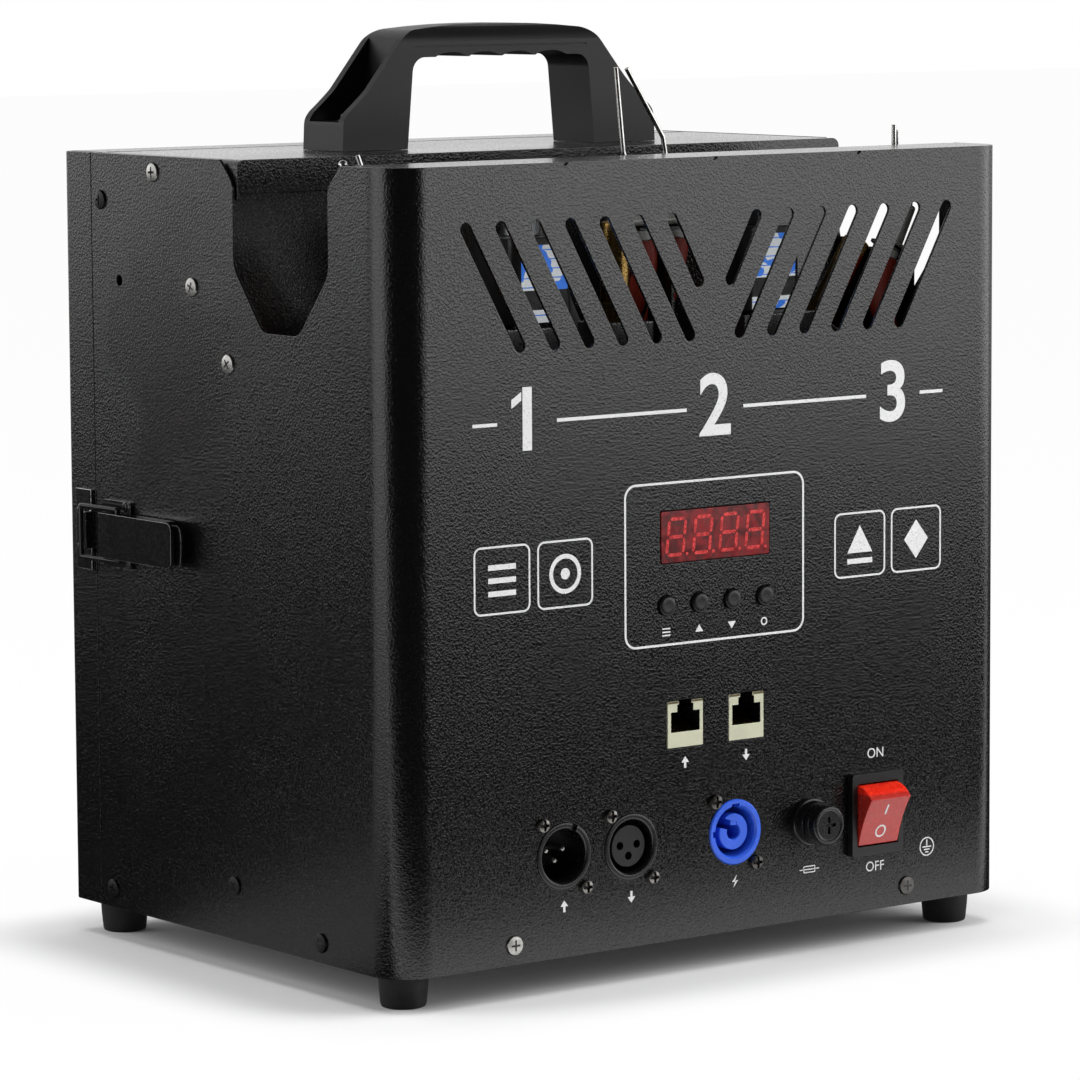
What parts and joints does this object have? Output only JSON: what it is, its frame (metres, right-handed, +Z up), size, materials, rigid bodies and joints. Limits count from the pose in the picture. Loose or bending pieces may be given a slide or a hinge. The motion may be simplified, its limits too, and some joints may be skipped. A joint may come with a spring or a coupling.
{
  "type": "stage flame machine",
  "caption": "Sheet-steel stage flame machine with an open trough of spark-lit gas burners, a carry handle, a latched rear door and a front panel with display, buttons and sockets.",
  "frame": {"origin": "centre of the outer box at the surface the feet stand on", "axes": "+Z up, -Y towards the front panel, +X to the right as seen from the front"},
  "size_m": [0.2972, 0.2196, 0.3384],
  "materials": {
    "powder_coat": "black textured powder coat",
    "black_steel": "black electrocoat, slightly glossy",
    "zinc_steel": "zinc plated",
    "moulded_plastic": "black moulded, fine grain",
    "rubber_foot": "moulded rubber",
    "hose_rubber": "smooth black hose",
    "display_red": "dark red window",
    "circuit_board": "green solder mask",
    "cream_plastic": "cream moulded",
    "blue_plastic": "blue moulded",
    "red_plastic": "glossy red, lit from inside",
    "fuse_glass": "clear tube",
    "supply_case": "plain sheet case",
    "brass": "machined",
    "coil_wrap": "wrapped coil with a printed band",
    "ceramic_white": "unglazed white ceramic with a steel rod",
    "can_paint": "plain lacquered can"
  },
  "bodies": {
    "cabinet": {"front_shell": "powder_coat", "base_tray": "powder_coat", "partition_wall": "powder_coat", "top_lid": "powder_coat", "carry_handle": "moulded_plastic", "foot_front_left": "rubber_foot", "foot_front_right": "rubber_foot", "foot_rear_left": "rubber_foot", "foot_rear_right": "rubber_foot", "hinge_cabinet_leaf_lower": "black_steel", "hinge_cabinet_leaf_upper": "black_steel", "hinge_pin_lower": "zinc_steel", "hinge_pin_upper": "zinc_steel", "latch_base": "black_steel", "display_module": "display_red", "control_board": "circuit_board", "network_jack_in": "cream_plastic", "network_jack_out": "cream_plastic", "data_board": "circuit_board", "data_inlet": "moulded_plastic", "data_outlet": "moulded_plastic", "power_inlet": "blue_plastic", "fuse_holder": "moulded_plastic", "rocker_frame": "moulded_plastic", "power_supply": "supply_case", "ignition_module": "moulded_plastic", "nozzle_deck": "powder_coat", "valve_left": "brass", "valve_centre": "brass", "valve_right": "brass", "coil_left": "coil_wrap", "coil_centre": "coil_wrap", "coil_right": "coil_wrap", "spark_electrode_1": "ceramic_white", "spark_electrode_2": "ceramic_white", "spark_electrode_3": "ceramic_white", "spark_electrode_4": "ceramic_white", "spark_electrode_5": "ceramic_white", "spark_electrode_6": "ceramic_white", "gas_can_left": "can_paint", "gas_can_centre": "can_paint", "gas_can_right": "can_paint", "gas_hose_left": "hose_rubber", "gas_hose_centre": "hose_rubber", "gas_hose_right": "hose_rubber", "can_rack": "powder_coat"},
    "rear_door": {"rear_door": "powder_coat", "hinge_door_leaf_lower": "black_steel", "hinge_door_leaf_upper": "black_steel", "catch_plate": "black_steel"},
    "latch_lever": {"latch_lever": "black_steel"},
    "latch_bail": {"latch_bail": "black_steel"},
    "button_menu": {"button_menu": "moulded_plastic"},
    "button_up": {"button_up": "moulded_plastic"},
    "button_down": {"button_down": "moulded_plastic"},
    "button_enter": {"button_enter": "moulded_plastic"},
    "fuse_carrier": {"glass_fuse": "fuse_glass"},
    "fuse_cap": {"fuse_cap": "moulded_plastic"},
    "rocker_key": {"rocker_key": "red_plastic"}
  },
  "joints": [
    {"name": "door_swing", "type": "hinge", "parent": "cabinet", "child": "rear_door", "pos_m": [0.14595, 0.091, 0.1525], "axis": [0, 0, -1], "range_deg": [0, 170]},
    {"name": "latch_lever", "type": "hinge", "parent": "cabinet", "child": "latch_lever", "pos_m": [-0.14295, 0.07775, 0.153], "axis": [0, 0, -1], "range_deg": [0, 110]},
    {"name": "latch_bail", "type": "hinge", "parent": "latch_lever", "child": "latch_bail", "pos_m": [-0.14295, 0.06975, 0.153], "axis": [0, 0, -1], "range_deg": [-110, 0]},
    {"name": "button_menu_press", "type": "slide", "parent": "cabinet", "child": "button_menu", "axis": [0, 1, 0], "range_m": [0, 0.001], "stiffness_N_per_m": 300, "springref_m": -0.0005},
    {"name": "button_up_press", "type": "slide", "parent": "cabinet", "child": "button_up", "axis": [0, 1, 0], "range_m": [0, 0.001], "stiffness_N_per_m": 300, "springref_m": -0.0005},
    {"name": "button_down_press", "type": "slide", "parent": "cabinet", "child": "button_down", "axis": [0, 1, 0], "range_m": [0, 0.001], "stiffness_N_per_m": 300, "springref_m": -0.0005},
    {"name": "button_enter_press", "type": "slide", "parent": "cabinet", "child": "button_enter", "axis": [0, 1, 0], "range_m": [0, 0.001], "stiffness_N_per_m": 300, "springref_m": -0.0005},
    {"name": "fuse_pull", "type": "slide", "parent": "cabinet", "child": "fuse_carrier", "axis": [0, -1, 0], "range_m": [0, 0.03]},
    {"name": "fuse_cap_turn", "type": "hinge", "parent": "fuse_carrier", "child": "fuse_cap", "pos_m": [0.04625, -0.10325, 0.0489], "axis": [0, -1, 0], "range_deg": [0, 90]},
    {"name": "rocker_press", "type": "hinge", "parent": "cabinet", "child": "rocker_key", "pos_m": [0.07685, -0.09955, 0.0489], "axis": [-1, 0, 0], "range_deg": [0, 45.6]}
  ],
  "couplings": [
    {"joint": "latch_bail", "follows": "latch_lever", "ratio": -1}
  ]
}
